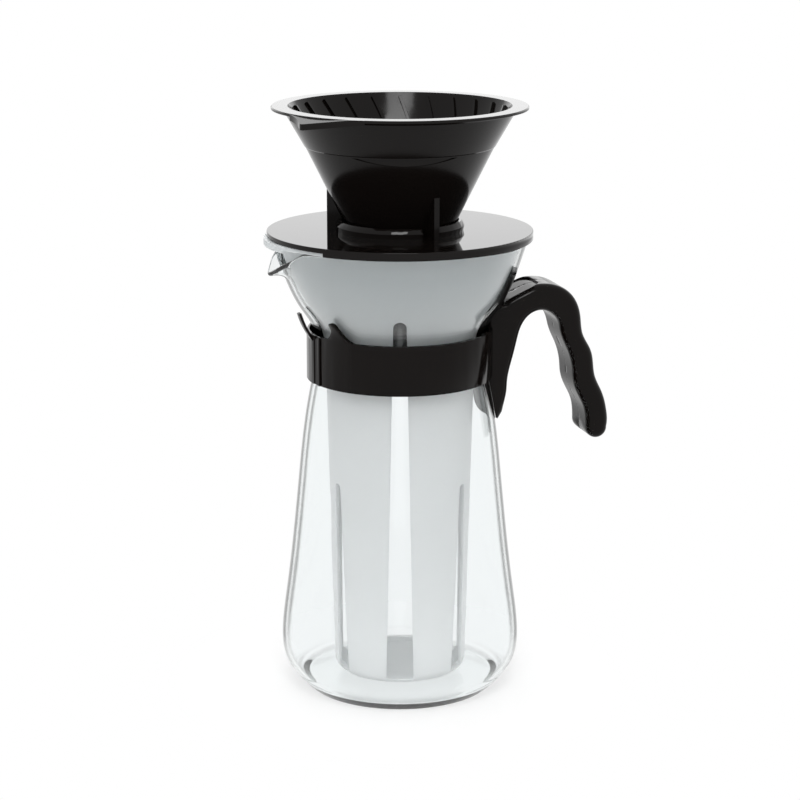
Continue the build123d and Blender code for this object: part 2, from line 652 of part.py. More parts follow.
def make_strainer():
    """The hanging strainer: flange and beak on the rim, bowl, and a slotted tube."""
    strainer = filled(strainer_curves(), RIM_Z)
    strainer += drum(FLANGE_RADIUS, RIM_Z, FLANGE_TOP)
    strainer += beak(RIM_Z, FLANGE_TOP)
    nose = beak(RIM_Z - BEAK_DROP, RIM_Z)
    strainer += nose - drum(RIM_RADIUS + LIP_REACH + BEAK_OVERHANG - BEAK_WALL, 0, RIM_Z)
    strainer -= strainer_hollow()
    for index in range(SLOT_COUNT):
        strainer -= strainer_slot(index)
    return strainer


# ---- drip plate --------------------------------------------------------------------------
def cone_radius(z):
    """The dripper cone's outer radius at a height below its step."""
    return OUTLET_RADIUS + CONE_SIDE + (z - CONE_TIP_Z) * CONE_SLOPE


def plate_collar():
    """The bevelled ring that centres the dripper, with a slot for each fin."""
    top = PLATE_TOP + COLLAR_HEIGHT
    inner = cone_radius(top) + CONE_SEAT_GAP
    outer = inner + COLLAR_WALL
    middle = PLATE_TOP + COLLAR_HEIGHT / 2
    collar = spun(
        (inner, PLATE_TOP),
        (outer - COLLAR_UNDERCUT, PLATE_TOP),
        (outer, middle),
        (outer - COLLAR_BEVEL, top),
        (inner, top),
    )
    slot = Box(4 * COLLAR_WALL, COLLAR_SLOT, 4 * COLLAR_HEIGHT)
    for angle in FIN_ANGLES:
        collar -= turned(Pos(inner, -COLLAR_SLOT_SHIFT, top) * slot, angle)
    return collar


def make_plate():
    """The drip plate: a disc on the flange, a skirt round it and the dripper's collar."""
    hole = cone_radius(PLATE_TOP) + CONE_SEAT_GAP
    corners = [(hole, FLANGE_TOP), (PLATE_RADIUS, FLANGE_TOP), (PLATE_RADIUS, PLATE_TOP), (hole, PLATE_TOP)]
    plate = spun(*corners)
    rims = plate.edges().filter_by(GeomType.CIRCLE).sort_by(SortBy.RADIUS)[-2:]
    plate = fillet(rims, PLATE_EDGE_ROUND)
    start = SPOUT_ANGLE + SKIRT_GAP_HALF_ANGLE - 360
    end = SPOUT_ANGLE - SKIRT_GAP_HALF_ANGLE
    middle = FLANGE_TOP + PLATE_THICKNESS / 2
    plate += sector(PLATE_RADIUS - SKIRT_WALL, PLATE_RADIUS, FLANGE_TOP - SKIRT_DROP, middle, start, end)
    return plate + plate_collar()


# ---- dripper cone ------------------------------------------------------------------------
def cone_inner():
    """The places of the cone's inner wall, from its outlet up to its mouth."""
    knee = cone_radius(STEP_Z) + STEP_HEIGHT - CONE_SIDE
    return [(OUTLET_RADIUS, CONE_TIP_Z), (knee, STEP_Z), (MOUTH_RADIUS, BRIM_TOP_Z)]


def cone_shell():
    """The cone with its step, its flared mouth and its brim."""
    step = cone_radius(STEP_Z)
    mouth = MOUTH_RADIUS + CONE_SIDE
    brim_foot = BRIM_TOP_Z - BRIM_THICKNESS
    outer = [
        (cone_radius(CONE_TIP_Z), CONE_TIP_Z),
        (step - STEP, STEP_Z),
        (step, STEP_Z + STEP_HEIGHT),
        (mouth - BRIM_CORNER, brim_foot - CONE_WALL / 2),
        (mouth, brim_foot),
        (BRIM_RADIUS, brim_foot + BRIM_EDGE),
        (BRIM_RADIUS, BRIM_TOP_Z - BRIM_EDGE),
        (BRIM_RADIUS - BRIM_EDGE, BRIM_TOP_Z),
    ]
    return spun(*outer, *reversed(cone_inner()))


def inner_radius(z):
    """The radius of the cone's inner wall at a height."""
    tip, knee, mouth = cone_inner()
    low, high = (tip, knee) if z < knee[1] else (knee, mouth)
    return low[0] + (z - low[1]) * (high[0] - low[0]) / (high[1] - low[1])


def spiral_rib():
    """One rib that winds up the inner wall, its root sunk in the wall."""
    low, high = CONE_TIP_Z + RIB_INSET, BRIM_TOP_Z - RIB_INSET
    slices = []
    for step in range(RIB_SECTIONS):
        z = low + (high - low) * step / (RIB_SECTIONS - 1)
        outer_end = (Align.MAX, Align.CENTER)
        slice_face = Rectangle(RIB_HEIGHT + RIB_ROOT, RIB_WIDTH, align=outer_end)
        place = Pos(inner_radius(z) + RIB_ROOT, 0, z)
        slices.append(turned(place * slice_face, (z - high) * RIB_TWIST_PER_MM))
    return loft(slices)


def fin(angle):
    """A radial fin from the cone down to the plate, with a straight outer edge."""
    root = CONE_SIDE / 2
    top = CONE_TIP_Z + (FIN_RADIUS - OUTLET_RADIUS - root) / CONE_SLOPE
    corners = [(cone_radius(PLATE_TOP) - root, PLATE_TOP), (FIN_RADIUS, PLATE_TOP), (FIN_RADIUS, top)]
    face = make_face(Polyline(*upright(corners), close=True))
    return turned(extrude(face, amount=FIN_THICKNESS / 2, dir=(0, 1, 0), both=True), angle)


def brim_tab():
    """The finger tab: it leaves the brim along a tangent, ends in a hollow step and droops."""
    root, reach = BRIM_RADIUS - BRIM_TAB_ROOT, BRIM_RADIUS + BRIM_TAB_REACH
    middle_angle = (BRIM_TAB_START + BRIM_TAB_END) / 2
    start, corner, end = (
        at(BRIM_RADIUS, 0, BRIM_TAB_START), at(reach, 0, BRIM_TAB_CORNER), at(BRIM_RADIUS, 0, BRIM_TAB_END)
    )
    hollow = at(BRIM_RADIUS + BRIM_TAB_REACH * BRIM_TAB_HOLLOW, 0, (2 * BRIM_TAB_CORNER + BRIM_TAB_END) / 3)
    root_start, root_end = at(root, 0, BRIM_TAB_START), at(root, 0, BRIM_TAB_END)
    edges = [
        Line(root_start, start),
        Line(start, corner),
        ThreePointArc(corner, hollow, end),
        Line(end, root_end),
        ThreePointArc(root_end, at(root, 0, middle_angle), root_start),
    ]
    face = make_face(Wire(edges))
    face = fillet(face.vertices().sort_by_distance(corner)[:1], BRIM_TAB_ROUND)
    prism = Pos(0, 0, STEP_Z) * extrude(face, amount=BRIM_TOP_Z - STEP_Z, dir=(0, 0, 1))
    outwards = (Align.CENTER, Align.CENTER, Align.MAX)
    slab = Rot(Y=BRIM_TAB_TILT) * Box(2 * BRIM_RADIUS, 2 * BRIM_RADIUS, BRIM_TAB_THICKNESS, align=outwards)
    return prism & turned(Pos(root, 0, BRIM_TOP_Z) * slab, BRIM_TAB_CORNER)


def crescent():
    """The shallow crescent pressed into the front of the cone."""
    half, drop = CRESCENT_WIDTH / 2, CRESCENT_HEIGHT
    top = STEP_Z - CRESCENT_DROP
    arc = ThreePointArc((half, 0), (0, -drop), (-half, 0))
    lens = make_face(Wire([Line((-half, 0), (half, 0)), arc]))
    outwards = Plane(origin=(0, 0, top), x_dir=(0, 1, 0), z_dir=(1, 0, 0))
    prism = outwards * extrude(lens, amount=2 * BRIM_RADIUS)
    low = top - 2 * drop
    recess = [(cone_radius(low) - CRESCENT_DEPTH / 10, low), (cone_radius(top) - CRESCENT_DEPTH, top)]
    clear = [(cone_radius(z) + CONE_WALL, z) for z in (top, low)]
    return turned(prism, CRESCENT_ANGLE) & spun(*recess, *clear)


def make_dripper():
    """The dripper: a ribbed cone with a brim, a finger tab and three fins to stand on."""
    cone = cone_shell() - crescent() + brim_tab()
    for angle in FIN_ANGLES:
        cone += fin(angle)
    rib = spiral_rib()
    ribs = [turned(rib, index * 360 / RIB_COUNT) for index in range(RIB_COUNT)]
    return cone.fuse(*ribs)


# ---- the part ----------------------------------------------------------------------------
handle_shell_near, handle_shell_far = make_shells()
PIECES = {
    "jug_glass": make_jug(),
    "neck_band": make_band(),
    "clasp_latch": make_latch(),
    "clasp_pin": make_pin(),
    "handle_shell_near": handle_shell_near,
    "handle_shell_far": handle_shell_far,
    "handle_screws": make_screws(),
    "ice_strainer": make_strainer(),
    "drip_plate": make_plate(),
    "dripper_cone": make_dripper(),
}

os.makedirs("parts", exist_ok=True)
for name, piece in PIECES.items():
    export_step(piece, f"parts/{name}.step")
    print(name, "valid" if piece.is_valid else "NOT VALID", round(piece.volume))
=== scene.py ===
"""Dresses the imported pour-over iced coffee maker: glass, frosted and black plastics, steel, studio.
Metres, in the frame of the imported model: +Z up, spout along -X, handle along +X."""

import json
from math import cos, hypot, pi, radians, sin

import bmesh
import bpy
import numpy as np
from bpy.props import FloatProperty, FloatVectorProperty, IntProperty, PointerProperty
from bpy.types import NodeSocket, Operator, Panel, PropertyGroup
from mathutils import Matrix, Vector
from mathutils.bvhtree import BVHTree

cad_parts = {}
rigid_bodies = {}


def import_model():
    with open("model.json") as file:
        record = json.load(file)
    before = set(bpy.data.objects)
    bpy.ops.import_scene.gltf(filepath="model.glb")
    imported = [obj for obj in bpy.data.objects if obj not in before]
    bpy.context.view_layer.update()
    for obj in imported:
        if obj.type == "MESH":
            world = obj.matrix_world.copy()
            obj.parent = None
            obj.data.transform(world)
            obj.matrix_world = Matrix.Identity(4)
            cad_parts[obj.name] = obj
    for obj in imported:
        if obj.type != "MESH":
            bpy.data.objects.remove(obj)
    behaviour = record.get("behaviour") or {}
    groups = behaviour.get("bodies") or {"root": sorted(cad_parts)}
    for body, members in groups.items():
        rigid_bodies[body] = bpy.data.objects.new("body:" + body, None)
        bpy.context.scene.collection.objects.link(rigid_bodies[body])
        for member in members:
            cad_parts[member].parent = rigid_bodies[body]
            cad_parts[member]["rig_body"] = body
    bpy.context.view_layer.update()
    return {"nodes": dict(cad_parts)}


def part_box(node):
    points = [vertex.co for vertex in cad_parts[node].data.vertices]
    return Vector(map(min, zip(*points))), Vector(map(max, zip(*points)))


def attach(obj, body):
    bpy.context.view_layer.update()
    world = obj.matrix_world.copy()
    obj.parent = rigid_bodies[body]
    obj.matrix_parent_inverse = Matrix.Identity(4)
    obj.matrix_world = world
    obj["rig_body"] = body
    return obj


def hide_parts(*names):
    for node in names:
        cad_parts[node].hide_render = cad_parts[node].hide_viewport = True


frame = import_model()

bl_info = {
    "name": "Iced Coffee Maker Looks",
    "version": (1, 0, 0),
    "blender": (4, 5, 0),
    "location": "3D View > Sidebar > Coffee Maker",
    "description": "Materials, finer pieces and a studio for a packed pour-over iced coffee maker",
    "category": "Object",
}


# ---- settings that a user would change -----------------------------------------------------------
class GlassSettings(PropertyGroup):
    colour: FloatVectorProperty(
        name="Colour", description="Colour of the wall where it is seen flat on", subtype="COLOR",
        default=(0.97, 0.98, 0.985), min=0, max=1,
    )
    # Painted shade: a near-black colour that the wall takes where it is seen edge on, drawing a dark
    # outline.
    edge_painted_shade: FloatVectorProperty(
        name="Edge tint", description="Colour of the wall where it is seen edge on",
        subtype="COLOR", default=(0.004, 0.006, 0.0055), min=0, max=1,
    )
    tint: FloatVectorProperty(
        name="Tint", description="Colour of light through thick glass", subtype="COLOR",
        default=(0.45, 0.62, 0.58), min=0, max=1,
    )
    density: FloatProperty(
        name="Density", description="How fast the tint builds up, per metre of glass",
        default=20.0, min=0,
    )
    refraction: FloatProperty(
        name="Refraction", description="Index of refraction", default=1.47, min=1,
    )


class JugSettings(PropertyGroup):
    wall: FloatProperty(
        name="Wall", description="Thickness of the glass wall", subtype="DISTANCE", unit="LENGTH",
        default=0.0021, min=0.001, precision=4,
    )
    base: FloatProperty(
        name="Base", description="Thickness of the glass base", subtype="DISTANCE", unit="LENGTH",
        default=0.0036, min=0.001, precision=4,
    )
    punt: FloatProperty(
        name="Punt", description="Rise of the hollow under the base", subtype="DISTANCE",
        unit="LENGTH", default=0.0009, min=0, precision=4,
    )
    lip_half_width: FloatProperty(
        name="Lip half width", description="Angle from the lip's tip to where the rim is level",
        subtype="ANGLE", unit="ROTATION", default=radians(30), min=radians(10), max=radians(60),
    )
    lip_reach: FloatProperty(
        name="Lip reach", description="How far the lip's tip stands out past the rim",
        subtype="DISTANCE", unit="LENGTH", default=0.0031, min=0, precision=4,
    )
    lip_depth: FloatProperty(
        name="Lip depth", description="How far the lip's tip lies below the rim",
        subtype="DISTANCE", unit="LENGTH", default=0.0147, min=0.001, precision=4,
    )
    lip_round: FloatProperty(
        name="Lip round", description="Rounding of the lip's tip", subtype="DISTANCE",
        unit="LENGTH", default=0.0022, min=0.0005, precision=4,
    )


class EdgeSettings(PropertyGroup):
    moulded: FloatProperty(
        name="Moulded edges", description="Rounding of the plastic pieces' edges",
        subtype="DISTANCE", unit="LENGTH", default=0.0003, min=0, precision=5,
    )
    segments: IntProperty(
        name="Segments", description="Steps in each rounding", default=2, min=1, max=4,
    )


class FrostedSettings(PropertyGroup):
    colour: FloatVectorProperty(
        name="Colour", description="Colour of the frosted plastic", subtype="COLOR",
        default=(0.93, 0.95, 0.955), min=0, max=1,
    )
    # Painted shade: the bowl is coloured darker where the drip plate above shades it.
    bowl_painted_shade: FloatVectorProperty(
        name="Bowl colour", description="Colour of the strainer's bowl", subtype="COLOR",
        default=(0.56, 0.59, 0.6), min=0, max=1,
    )
    roughness: FloatProperty(
        name="Roughness", description="Blur of what shows through", subtype="FACTOR",
        default=0.35, min=0, max=1,
    )
    milkiness: FloatProperty(
        name="Milkiness", description="Share of light that spreads inside the wall",
        subtype="FACTOR", default=0.8, min=0, max=1,
    )
    glow_depth: FloatProperty(
        name="Glow depth", description="How far light spreads inside the wall", subtype="DISTANCE",
        unit="LENGTH", default=0.005, min=0, precision=4,
    )
    clearness: FloatProperty(
        name="Clearness", description="Share of light let through", subtype="FACTOR",
        default=0.12, min=0, max=1,
    )


class BlackPlasticSettings(PropertyGroup):
    colour: FloatVectorProperty(
        name="Colour", description="Warm black of the moulded plastic", subtype="COLOR",
        default=(0.0032, 0.0024, 0.0021), min=0, max=1,
    )
    gloss_roughness: FloatProperty(
        name="Gloss roughness", description="Roughness of the drip plate", subtype="FACTOR",
        default=0.02, min=0, max=1,
    )
    cone_roughness: FloatProperty(
        name="Cone roughness", description="Roughness of the dripper", subtype="FACTOR",
        default=0.13, min=0, max=1,
    )
    satin_roughness: FloatProperty(
        name="Satin roughness", description="Roughness of the grained band and handle",
        subtype="FACTOR", default=0.11, min=0, max=1,
    )
    grain: FloatProperty(
        name="Grain", description="Size of the mould's grain", subtype="DISTANCE", unit="LENGTH",
        default=0.0007, min=0.0001, precision=4,
    )


class SteelSettings(PropertyGroup):
    colour: FloatVectorProperty(
        name="Colour", description="Colour of the steel where it is brightest", subtype="COLOR",
        default=(0.66, 0.66, 0.65), min=0, max=1,
    )
    dull_colour: FloatVectorProperty(
        name="Dull colour", description="Colour of the steel where it is dullest", subtype="COLOR",
        default=(0.5, 0.5, 0.5), min=0, max=1,
    )
    roughness: FloatProperty(
        name="Roughness", description="Roughness of the turned steel", subtype="FACTOR",
        default=0.28, min=0, max=1,
    )


class StudioSettings(PropertyGroup):
    backdrop: FloatVectorProperty(
        name="Backdrop", description="Colour of floor and backdrop", subtype="COLOR",
        default=(1.0, 1.0, 1.0), min=0, max=1,
    )
    sky: FloatProperty(
        name="Sky", description="Strength of the even light from all round", default=0.9, min=0,
    )
    inner_sky: FloatProperty(
        name="Sky through glass", description="Strength of the even light through the jug",
        default=1.95, min=0,
    )
    key: FloatProperty(
        name="Key light", description="Power of the lamp in front", unit="POWER",
        default=9.0, min=0,
    )
    rear: FloatProperty(
        name="Rear light", description="Power of the lamp behind", unit="POWER",
        default=5.4, min=0,
    )
    camera_place: FloatVectorProperty(
        name="Camera place", description="Where the camera stands", subtype="TRANSLATION",
        unit="LENGTH", default=(-0.2674, -0.9980, 0.3940),
    )
    camera_pitch: FloatProperty(
        name="Camera pitch", description="How far the camera looks down", subtype="ANGLE",
        unit="ROTATION", default=radians(14.12),
    )
    camera_turn: FloatProperty(
        name="Camera turn", description="Direction the camera looks in", subtype="ANGLE",
        unit="ROTATION", default=radians(-15),
    )
    lens: FloatProperty(
        name="Lens", description="Focal length on a 36 mm sensor", subtype="DISTANCE_CAMERA",
        unit="CAMERA", default=104.58, min=1,
    )


# ---- node helpers --------------------------------------------------------------------------------
def join(socket, value):
    """Sets a socket to a value, or links another node's output to it."""
    if isinstance(value, NodeSocket):
        socket.id_data.links.new(value, socket)
    else:
        socket.default_value = value


def feed(made, **values):
    """Joins values and other nodes' outputs to a node's inputs by name."""
    for name, value in values.items():
        join(made.inputs[name.replace("_", " ")], value)
    return made


def node(tree, kind, **values):
    """A new node with its inputs fed."""
    return feed(tree.nodes.new(kind), **values)


def placed(tree, group, **values):
    """A node group in a material, with its own values."""
    made = tree.nodes.new("ShaderNodeGroup")
    made.node_tree = group
    return feed(made, **values)


def result_of(tree, operation, *values):
    """The result of a Math node on values and other nodes' outputs."""
    made = tree.nodes.new("ShaderNodeMath")
    made.operation = operation
    for socket, value in zip(made.inputs, values):
        join(socket, value)
    return made.outputs[0]


def ramp(tree, value, low, high, start=0.0, end=1.0):
    """A value that runs from start to end while another runs from low to high."""
    made = node(tree, "ShaderNodeMapRange", Value=value, From_Min=low, From_Max=high)
    return feed(made, To_Min=start, To_Max=end).outputs["Result"]


def own_place(tree):
    """Each point's place in its piece's own space."""
    return tree.nodes.new("ShaderNodeTexCoord").outputs["Object"]


def own_height(tree):
    """Each point's height in its piece's own space."""
    return node(tree, "ShaderNodeSeparateXYZ", Vector=own_place(tree)).outputs["Z"]


def toned(colour, factor):
    """A colour made darker by a factor below 1, or lighter by one above it."""
    return tuple(channel * factor for channel in colour)


def tint_between(tree, mask, start, end):
    """A colour run by a mask from start, which may be another node's output, to end."""
    mix = tree.nodes.new("ShaderNodeMix")
    mix.data_type = "RGBA"
    first = start if isinstance(start, NodeSocket) else (*start, 1)
    return feed(mix, Factor=mask, A=first, B=(*end, 1)).outputs["Result"]


def shaders_between(tree, mask, start, end):
    """A shader run by a mask from start to end."""
    mix = tree.nodes.new("ShaderNodeMixShader")
    for socket, value in zip(mix.inputs, (mask, start, end)):
        join(socket, value)
    return mix.outputs[0]


def bump_from(tree, height, shader, distance, strength):
    """Gives a shader a bump from a height of 0 to 1."""
    bump = node(tree, "ShaderNodeBump", Height=height, Distance=distance, Strength=strength)
    feed(shader, Normal=bump.outputs["Normal"])


def new_material(name):
    """A node material with a Principled shader on its output."""
    material = bpy.data.materials.new(name)
    material.use_nodes = True
    tree = material.node_tree
    return material, tree, tree.nodes["Principled BSDF"]


def new_group(name, inputs, outputs):
    """A shader node group of plain numbers; inputs are (name, default), outputs are names."""
    group = bpy.data.node_groups.new(name, "ShaderNodeTree")
    for label, default in inputs:
        socket = group.interface.new_socket(label, in_out="INPUT", socket_type="NodeSocketFloat")
        socket.default_value = default
    for label in outputs:
        group.interface.new_socket(label, in_out="OUTPUT", socket_type="NodeSocketFloat")
    return group, group.nodes.new("NodeGroupInput").outputs, group.nodes.new("NodeGroupOutput")


# ---- effects that several materials share --------------------------------------------------------
def mould_grain():
    """Fine grain from the mould, as a height from 0 to 1."""
    if "Mould grain" in bpy.data.node_groups:
        return bpy.data.node_groups["Mould grain"]
    group, given, end = new_group("Mould grain", [("Scale", 1400.0)], ["Height"])
    fine = node(
        group, "ShaderNodeTexNoise", Vector=own_place(group), Scale=given["Scale"], Detail=3.0,
        Roughness=0.6,
    )
    feed(end, Height=fine.outputs["Fac"])
    return group


def handling_marks():
    """Broad soft unevenness: a roughness round a middle, and a mask from 0 to 1."""
    if "Handling marks" in bpy.data.node_groups:
        return bpy.data.node_groups["Handling marks"]
    group, given, end = new_group(
        "Handling marks", [("Middle", 0.4), ("Spread", 0.05), ("Scale", 40.0)],
        ["Roughness", "Mask"],
    )
    cloud = node(
        group, "ShaderNodeTexNoise", Vector=own_place(group), Scale=given["Scale"], Detail=4.0,
        Roughness=0.55,
    )
    centred = result_of(group, "SUBTRACT", cloud.outputs["Fac"], 0.5)
    spread = result_of(group, "MULTIPLY_ADD", centred, given["Spread"], given["Middle"])
    feed(end, Roughness=spread, Mask=cloud.outputs["Fac"])
    return group


def uneven(tree, shader, dark, light, **values):
    """Gives a shader soft unevenness of colour and roughness, and returns its mask."""
    marks = placed(tree, handling_marks(), **values)
    tint = tint_between(tree, marks.outputs["Mask"], dark, light)
    feed(shader, Base_Color=tint, Roughness=marks.outputs["Roughness"])
    return marks.outputs["Mask"]


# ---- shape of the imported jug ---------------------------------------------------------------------
def packed_surface(name):
    """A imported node's surface, to measure by casting rays at it."""
    mesh = frame["nodes"][name].data
    corners = [vertex.co for vertex in mesh.vertices]
    return BVHTree.FromPolygons(corners, [tuple(face.vertices) for face in mesh.polygons])


JUG_WALL = packed_surface("jug_glass")
JUG_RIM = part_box("jug_glass")[1].z
# Rays start outside the jug and meet it at least this far inside its foot and rim.
RAY_START = 1.0
FOOT_CLEAR = 0.0001
RIM_CLEAR = 0.0002


def jug_radius(height):
    """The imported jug's outer radius at a height, on the side away from lip and handle."""
    level = min(max(height, FOOT_CLEAR), JUG_RIM - RIM_CLEAR)
    hit = JUG_WALL.ray_cast(Vector((0, RAY_START, level)), Vector((0, -1, 0)))[0]
    if hit is None:
        raise RuntimeError(f"the packed jug has no wall at a height of {height}")
    return hit.y


RIM_RADIUS = jug_radius(JUG_RIM)


# ---- blown jug -----------------------------------------------------------------------------------
# Columns of points over the lip and round the rest, and how far past the lip they stay close.
LIP_COLUMNS = 44
ROUND_COLUMNS = 72
LIP_MARGIN = 1.15
# Heights of the heel, where the wall bends up from the foot, and rows of points above it.
HEEL_BEND = 0.006
HEEL_TOP = 0.024
HEEL_HEIGHTS = (0.0, 0.0006, 0.0018, 0.0036, HEEL_BEND, 0.009, 0.013, 0.018, HEEL_TOP)
BODY_TOP = 0.178
BODY_ROWS = 34
BOWL_ROWS = 8
# Rounding where the lip dips from the level rim, and where it flares from the bowl.
DIP_ROUND = 0.0012
FLARE_ROUND = 0.0003
# Seen from above, how fast the lip's sides fall back, and the sine of the angle that its tip takes.
LIP_TAPER = 0.43
LIP_TIP = 0.035
# The wall turns outwards over this last stretch, by a share of the flare, once the flare is enough.
LIP_STRETCH = 0.0022
LIP_ROWS = 9
LIP_TURN = 0.1
FLARE_START = 0.0004
FLARE_FULL = 0.003
# Directions over the round rim, in degrees from outwards.
RIM_TURNS = (30, 60, 90, 120, 150)
# Rings under the foot, as (step outwards, share of the punt).
FOOT_RINGS = ((-0.012, 0.45), (-0.004, 0.08), (-0.0008, 0.0))
# The inner wall ends this far above the floor, and rings on it, as (step outwards, rise), go on.
FLOOR_CLEAR = 0.0018
FLOOR_RINGS = ((-0.0006, 0.0009), (-0.0018, 0.0002), (-0.0041, 0.0), (-0.0206, 0.0))


def smooth_step(value, low, high):
    """0 below low, 1 above high, smooth between."""
    share = min(max((value - low) / (high - low), 0.0), 1.0)
    return share * share * (3 - 2 * share)


def soft_max(one, other, softness):
    """The larger of two lengths, rounded off where they meet."""
    return one + softness * np.logaddexp(0, (other - one) / softness)


def rim_height(jug, angle):
    """The rim's height at an angle from the lip's tip: level, with a rounded vee at the lip."""
    level = JUG_RIM - jug.wall / 2
    across = RIM_RADIUS * abs(sin(angle))
    slope = jug.lip_depth / (RIM_RADIUS * sin(jug.lip_half_width) - jug.lip_round)
    vee = JUG_RIM - jug.lip_depth + slope * (hypot(across, jug.lip_round) - jug.lip_round)
    if abs(angle) > pi / 2:
        vee = level + jug.lip_depth
    return -soft_max(-level, -vee, DIP_ROUND)


def rim_radius(jug, angle, height):
    """The rim's outer radius: the bowl's, or the lip's where that stands out further."""
    bowl = jug_radius(height)
    if abs(angle) >= jug.lip_half_width:
        return bowl
    reach = RIM_RADIUS + jug.lip_reach - jug.wall / 2
    flank = hypot(sin(angle), LIP_TIP) - LIP_TIP
    return soft_max(bowl, reach / (cos(angle) + LIP_TAPER * flank), FLARE_ROUND)


def lip_rows(jug, angle):
    """The height where the last stretch of the wall starts, and its (radius, height) places."""
    height = rim_height(jug, angle)
    end = Vector((rim_radius(jug, angle, height), height))
    bowl = jug_radius(end.y)
    flare = end.x - bowl
    below = end.y - LIP_STRETCH
    start = Vector((jug_radius(below), below))
    straight = (start + end) / 2
    turned = Vector((bowl + LIP_TURN * flare, end.y + LIP_TURN * flare))
    bend = straight.lerp(turned, smooth_step(flare, FLARE_START, FLARE_FULL))
    rows = []
    for row in range(1, LIP_ROWS + 1):
        share = row / LIP_ROWS
        rows.append(start.lerp(bend, share).lerp(bend.lerp(end, share), share))
    return below, rows


def jug_column(jug, angle):
    """The outer wall at one angle, as (radius, height) places from under the base to the rim."""
    foot = jug_radius(0.0)
    places = [(foot + step, jug.punt * share) for step, share in FOOT_RINGS]
    below, last = lip_rows(jug, angle)
    heights = [*HEEL_HEIGHTS]
    for low, high, rows in ((HEEL_TOP, BODY_TOP, BODY_ROWS), (BODY_TOP, below, BOWL_ROWS)):
        heights += [low + (high - low) * row / rows for row in range(1, rows + 1)]
    places += [(jug_radius(height), height) for height in heights]
    return places + [tuple(place) for place in last]


def jug_angles(jug):
    """Angles from the lip's tip, close together over the lip."""
    half = jug.lip_half_width * LIP_MARGIN
    lip = [half * (2 * i / LIP_COLUMNS - 1) for i in range(LIP_COLUMNS)]
    rest = 2 * pi - 2 * half
    return lip + [half + rest * i / ROUND_COLUMNS for i in range(ROUND_COLUMNS)]


def outer_rings(jug):
    """Rings of points from under the base and up the outside to the rim."""
    columns = []
    for angle in jug_angles(jug):
        from_lip = (angle + pi) % (2 * pi) - pi
        places = jug_column(jug, from_lip)
        columns.append([(-r * cos(angle), -r * sin(angle), z) for r, z in places])
    return np.array(columns).transpose(1, 0, 2)


def outwards(rings):
    """The unit normals of a grid of rings of points, pointing away from the axis."""
    along = np.gradient(rings, axis=0)
    around = np.roll(rings, -1, axis=1) - np.roll(rings, 1, axis=1)
    normals = np.cross(around, along)
    return normals / np.linalg.norm(normals, axis=2, keepdims=True)


def rim_rings(jug, outer, inner, normals):
    """Rings over the round rim, from the outer wall to the inner one."""
    rising = outer[-1] - outer[-2]
    rising /= np.linalg.norm(rising, axis=1, keepdims=True)
    middle = (outer[-1] + inner[-1]) / 2
    half = jug.wall / 2
    turns = [radians(turn) for turn in RIM_TURNS]
    return [middle + half * (cos(turn) * normals[-1] + sin(turn) * rising) for turn in turns]


def floor_rings(jug, wall):
    """Rings from the last ring of the inner wall towards the middle of the floor."""
    radii = np.linalg.norm(wall[:, :2], axis=1, keepdims=True)
    rings = []
    for step, rise in FLOOR_RINGS:
        ring = wall.copy()
        ring[:, :2] *= (radii + step) / radii
        ring[:, 2] = jug.base + rise
        rings.append(ring)
    return rings


def jug_rings(jug):
    """Rings of points from under the base, up the outside, over the rim and down the inside."""
    outer = outer_rings(jug)
    normals = outwards(outer)
    inner = outer - normals * jug.wall
    over = rim_rings(jug, outer, inner, normals)
    inside = [ring for ring in inner[::-1] if ring[:, 2].min() > jug.base + FLOOR_CLEAR]
    return [*outer, *over, *inside, *floor_rings(jug, inside[-1])]


def mesh_from_rings(name, rings, start, end):
    """A closed smooth mesh from rings of points, with a point at each end."""
    mesh = bmesh.new()
    first = mesh.verts.new(start)
    loops = [[mesh.verts.new(point) for point in ring] for ring in rings]
    last = mesh.verts.new(end)
    count = len(loops[0])
    for i in range(count):
        j = (i + 1) % count
        mesh.faces.new((first, loops[0][j], loops[0][i]))
        for low, high in zip(loops, loops[1:]):
            mesh.faces.new((low[i], low[j], high[j], high[i]))
        mesh.faces.new((last, loops[-1][i], loops[-1][j]))
    bmesh.ops.recalc_face_normals(mesh, faces=mesh.faces)
    for face in mesh.faces:
        face.smooth = True
    data = bpy.data.meshes.new(name)
    mesh.to_mesh(data)
    mesh.free()
    piece = bpy.data.objects.new(name, data)
    bpy.context.collection.objects.link(piece)
    return piece


# ---- materials -----------------------------------------------------------------------------------
# Each Scale is in waves per metre, and each bump's distance in metres.
# The glass takes a painted dark outline, a painted shade, between these values of Layer Weight's
# Facing, which is 1 at the very edge.
PAINTED_OUTLINE_START = 0.73
PAINTED_OUTLINE_FULL = 0.8
# The strainer takes its bowl's painted shade, darker where the drip plate shades it, between these
# heights.
BOWL_SHADE_FOOT = 0.15
BOWL_SHADE_TOP = 0.2


def clear_glass(name, settings):
    """Clear blown glass: tinted where it is thick, with a painted dark outline (painted shade) above
    the heel, and slowly wavy.
    """
    material, tree, shader = new_material(name)
    # Painted shade: the wall is coloured near black where it is seen edge on, above the heel.
    facing = node(tree, "ShaderNodeLayerWeight", Blend=0.5)
    outline = ramp(tree, facing.outputs["Facing"], PAINTED_OUTLINE_START, PAINTED_OUTLINE_FULL)
    above_heel = ramp(tree, own_height(tree), HEEL_BEND, HEEL_TOP)
    painted_outline = result_of(tree, "MULTIPLY", outline, above_heel)
    feed(
        shader, Base_Color=tint_between(tree, painted_outline, settings.colour, settings.edge_painted_shade),
        Transmission_Weight=1.0, IOR=settings.refraction, Roughness=0.0,
    )
    marks = placed(tree, handling_marks(), Scale=14.0)
    bump_from(tree, marks.outputs["Mask"], shader, distance=0.0008, strength=0.1)
    depth = node(
        tree, "ShaderNodeVolumeAbsorption", Color=(*settings.tint, 1), Density=settings.density,
    )
    feed(tree.nodes["Material Output"], Volume=depth.outputs["Volume"])
    return material


